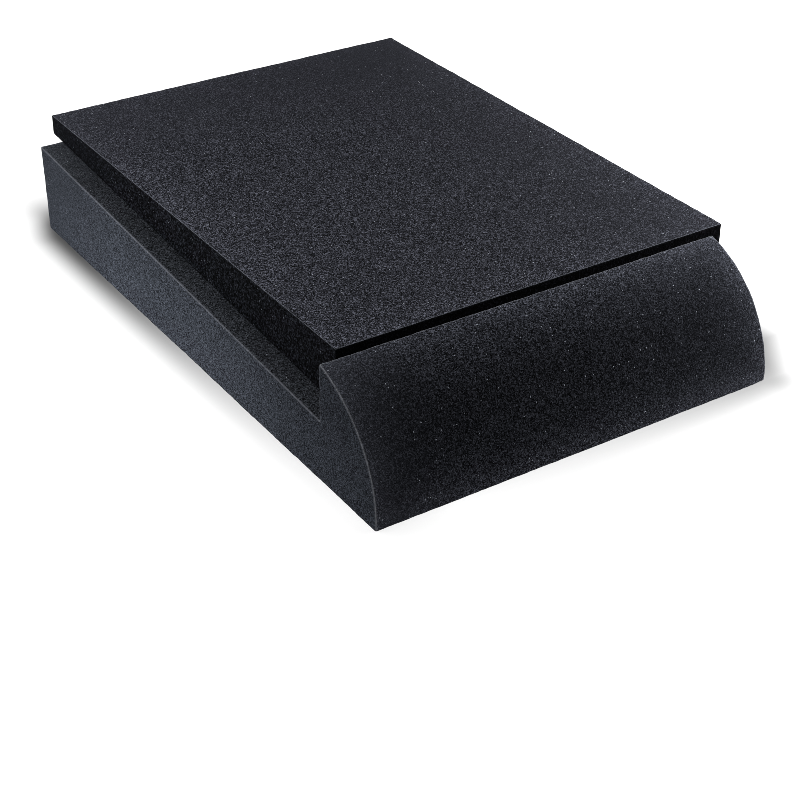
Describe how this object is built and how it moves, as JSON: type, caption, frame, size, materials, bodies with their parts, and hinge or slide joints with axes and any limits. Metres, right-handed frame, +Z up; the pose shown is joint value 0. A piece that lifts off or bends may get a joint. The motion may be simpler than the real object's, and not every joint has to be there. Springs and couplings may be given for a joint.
{
  "type": "speaker isolation pad",
  "caption": "Rectangular foam pad for a loudspeaker: a base with a rounded front lip and a sloping seat, and a loose levelling wedge that lies on the seat.",
  "frame": {"origin": "centre of the base's underside, on the desk surface", "axes": "+Z up, +Y from the rounded lip towards the back, +X to the right as seen from the lip"},
  "size_m": [0.211, 0.31, 0.054],
  "materials": {
    "base_foam": "matte charcoal open-cell foam with cut faces",
    "wedge_foam": "matte charcoal open-cell foam with cut faces"
  },
  "bodies": {
    "root": {"base": "base_foam", "top_wedge": "wedge_foam"}
  },
  "joints": []
}
